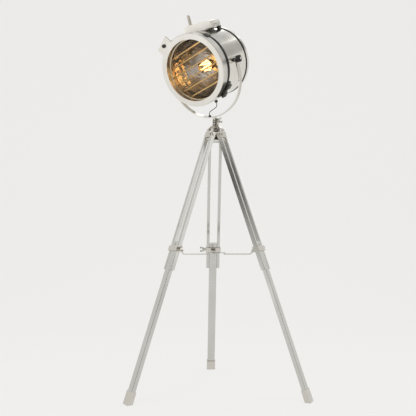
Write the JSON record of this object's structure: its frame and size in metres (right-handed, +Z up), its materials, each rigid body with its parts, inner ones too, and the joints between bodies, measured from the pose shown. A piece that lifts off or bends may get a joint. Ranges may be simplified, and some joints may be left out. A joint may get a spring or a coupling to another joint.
{
  "type": "tripod spotlight floor lamp",
  "caption": "Searchlight-style floor lamp: a drum head with a louvred door tilts in a yoke on a folding tripod with sliding lower legs.",
  "frame": {"origin": "on the floor under the hub's vertical axis", "axes": "+Z up; the rear leg points along +Y and the front of the lamp faces -Y, with the head turned 37 degrees to its left at rest"},
  "size_m": [0.7592, 0.679, 1.6317],
  "materials": {
    "brass": "turned",
    "bulb": "clear blown glass",
    "casting": "cast, polished and nickel plated",
    "dark_trim": "blackened",
    "door_ring": "satin nickel face with polished edges",
    "drum": "spun sheet, polished and nickel plated",
    "knob": "moulded, lobed grip",
    "lead": "smooth sheath",
    "leg_tube": "polished, lightly brushed along the length",
    "louvre": "polished strip",
    "nickel": "polished nickel plate",
    "reflector": "bright mirror"
  },
  "bodies": {
    "hub": {"hub_bell": "casting", "leg_hinge_bolts": "nickel"},
    "leg_1": {"leg_1_top_bracket": "casting", "leg_1_rails": "leg_tube", "leg_1_clamp": "casting"},
    "lower_leg_1": {"leg_1_lower_bar": "leg_tube", "leg_1_stop_screw": "nickel", "leg_1_foot": "casting"},
    "thumbscrew_1": {"leg_1_thumbscrew": "nickel"},
    "arm_1": {"spreader_arm_1": "nickel"},
    "leg_2": {"leg_2_top_bracket": "casting", "leg_2_rails": "leg_tube", "leg_2_clamp": "casting"},
    "lower_leg_2": {"leg_2_lower_bar": "leg_tube", "leg_2_stop_screw": "nickel", "leg_2_foot": "casting"},
    "thumbscrew_2": {"leg_2_thumbscrew": "nickel"},
    "arm_2": {"spreader_arm_2": "nickel"},
    "leg_3": {"leg_3_top_bracket": "casting", "leg_3_rails": "leg_tube", "leg_3_clamp": "casting"},
    "lower_leg_3": {"leg_3_lower_bar": "leg_tube", "leg_3_stop_screw": "nickel", "leg_3_foot": "casting"},
    "thumbscrew_3": {"leg_3_thumbscrew": "nickel"},
    "arm_3": {"spreader_arm_3": "nickel"},
    "spreader_centre": {"spreader_ring": "nickel"},
    "swivel": {"swivel_fork": "nickel", "swivel_nut": "dark_trim"},
    "knuckle_screw": {"knuckle_screw": "nickel"},
    "yoke": {"yoke_band": "nickel", "yoke_tongue": "nickel", "lead_grommet": "lead"},
    "head": {"drum_shell": "drum", "rear_cover": "drum", "tilt_pivots": "nickel", "vent_cowl": "casting", "vent_feet": "dark_trim", "aiming_handle": "casting", "cable_gland": "nickel", "reflector": "reflector", "lamp_holder": "dark_trim", "bulb_cap": "brass", "bulb_glass": "bulb", "drum_hinge_leaf": "dark_trim", "hinge_pin": "dark_trim", "latch_lug": "dark_trim", "ring_clip": "dark_trim", "door_gasket": "lead", "rear_trim": "lead", "lead": "lead"},
    "tilt_knob_right": {"tilt_knob_right": "knob"},
    "tilt_knob_left": {"tilt_knob_left": "knob"},
    "door": {"door_ring": "door_ring", "door_hinge_leaf": "dark_trim", "grille_rim": "louvre", "grille_slats": "louvre"},
    "latch_screw": {"latch_screw": "knob"}
  },
  "joints": [
    {"name": "leg_fold_1", "type": "hinge", "parent": "hub", "child": "leg_1", "pos_m": [0, 0.03, 1.117], "axis": [-1, 0, 0], "range_deg": [0, 13]},
    {"name": "leg_slide_1", "type": "slide", "parent": "leg_1", "child": "lower_leg_1", "axis": [0, -0.3256, 0.9455], "range_m": [0, 0.4]},
    {"name": "thumbscrew_turn_1", "type": "hinge", "parent": "leg_1", "child": "thumbscrew_1", "pos_m": [-0.0429, 0.20516, 0.60831], "axis": [-1, 0, 0], "range_deg": [0, 540]},
    {"name": "spreader_arm_turn_1", "type": "hinge", "parent": "leg_1", "child": "arm_1", "pos_m": [0, 0.18152, 0.60017], "axis": [1, 0, 0], "range_deg": [0, 94.1]},
    {"name": "leg_fold_2", "type": "hinge", "parent": "hub", "child": "leg_2", "pos_m": [-0.02598, -0.015, 1.117], "axis": [0.5, -0.866, 0], "range_deg": [0, 13.1]},
    {"name": "leg_slide_2", "type": "slide", "parent": "leg_2", "child": "lower_leg_2", "axis": [0.2819, 0.1628, 0.9455], "range_m": [0, 0.4]},
    {"name": "thumbscrew_turn_2", "type": "hinge", "parent": "leg_2", "child": "thumbscrew_2", "pos_m": [-0.15622, -0.13973, 0.60831], "axis": [0.5, -0.866, 0], "range_deg": [0, 540]},
    {"name": "spreader_arm_turn_2", "type": "hinge", "parent": "leg_2", "child": "arm_2", "pos_m": [-0.1572, -0.09076, 0.60017], "axis": [-0.5, 0.866, 0], "range_deg": [0, 94.1]},
    {"name": "leg_fold_3", "type": "hinge", "parent": "hub", "child": "leg_3", "pos_m": [0.02598, -0.015, 1.117], "axis": [0.5, 0.866, 0], "range_deg": [0, 13.1]},
    {"name": "leg_slide_3", "type": "slide", "parent": "leg_3", "child": "lower_leg_3", "axis": [-0.2819, 0.1628, 0.9455], "range_m": [0, 0.4]},
    {"name": "thumbscrew_turn_3", "type": "hinge", "parent": "leg_3", "child": "thumbscrew_3", "pos_m": [0.19912, -0.06542, 0.60831], "axis": [0.5, 0.866, 0], "range_deg": [0, 540]},
    {"name": "spreader_arm_turn_3", "type": "hinge", "parent": "leg_3", "child": "arm_3", "pos_m": [0.1572, -0.09076, 0.60017], "axis": [-0.5, -0.866, 0], "range_deg": [0, 94.1]},
    {"name": "spreader_ring_drop", "type": "slide", "parent": "hub", "child": "spreader_centre", "axis": [0, 0, 1], "range_m": [-0.101, 0]},
    {"name": "head_pan", "type": "hinge", "parent": "hub", "child": "swivel", "pos_m": [0, 0, 1.186], "axis": [0, 0, 1], "range_deg": [-135, 205]},
    {"name": "yoke_lean", "type": "hinge", "parent": "swivel", "child": "yoke", "pos_m": [0, 0, 1.186], "axis": [0.7986, -0.6018, 0], "range_deg": [-45, 12]},
    {"name": "knuckle_screw_turn", "type": "hinge", "parent": "swivel", "child": "knuckle_screw", "pos_m": [0.01078, -0.00813, 1.186], "axis": [0.7986, -0.6018, 0], "range_deg": [0, 540]},
    {"name": "head_tilt", "type": "hinge", "parent": "yoke", "child": "head", "pos_m": [-0.0618, -0.08202, 1.40623], "axis": [-0.7986, 0.6018, 0], "range_deg": [-60, 42], "deforming": ["lead"]},
    {"name": "tilt_knob_turn_right", "type": "hinge", "parent": "yoke", "child": "tilt_knob_right", "pos_m": [0.07716, -0.18673, 1.40623], "axis": [0.7986, -0.6018, 0], "range_deg": [0, 540]},
    {"name": "tilt_knob_turn_left", "type": "hinge", "parent": "yoke", "child": "tilt_knob_left", "pos_m": [-0.20077, 0.0227, 1.40623], "axis": [-0.7986, 0.6018, 0], "range_deg": [0, 540]},
    {"name": "door_swing", "type": "hinge", "parent": "head", "child": "door", "pos_m": [0.03439, -0.14588, 1.28038], "axis": [0.3715, -0.6819, 0.63], "range_deg": [0, 105]},
    {"name": "latch_screw_turn", "type": "hinge", "parent": "door", "child": "latch_screw", "pos_m": [-0.23021, -0.12713, 1.47981], "axis": [-0.5362, -0.7116, -0.454], "range_deg": [0, 540]}
  ],
  "couplings": [
    {"joint": "leg_fold_2", "follows": "leg_fold_1", "ratio": 1},
    {"joint": "leg_fold_3", "follows": "leg_fold_1", "ratio": 1},
    {"joint": "spreader_arm_turn_1", "follows": "leg_fold_1", "ratio": 7.2},
    {"joint": "spreader_arm_turn_2", "follows": "leg_fold_1", "ratio": 7.2},
    {"joint": "spreader_arm_turn_3", "follows": "leg_fold_1", "ratio": 7.2},
    {"joint": "spreader_ring_drop", "follows": "leg_fold_1", "m_per_rad": -0.44074}
  ]
}
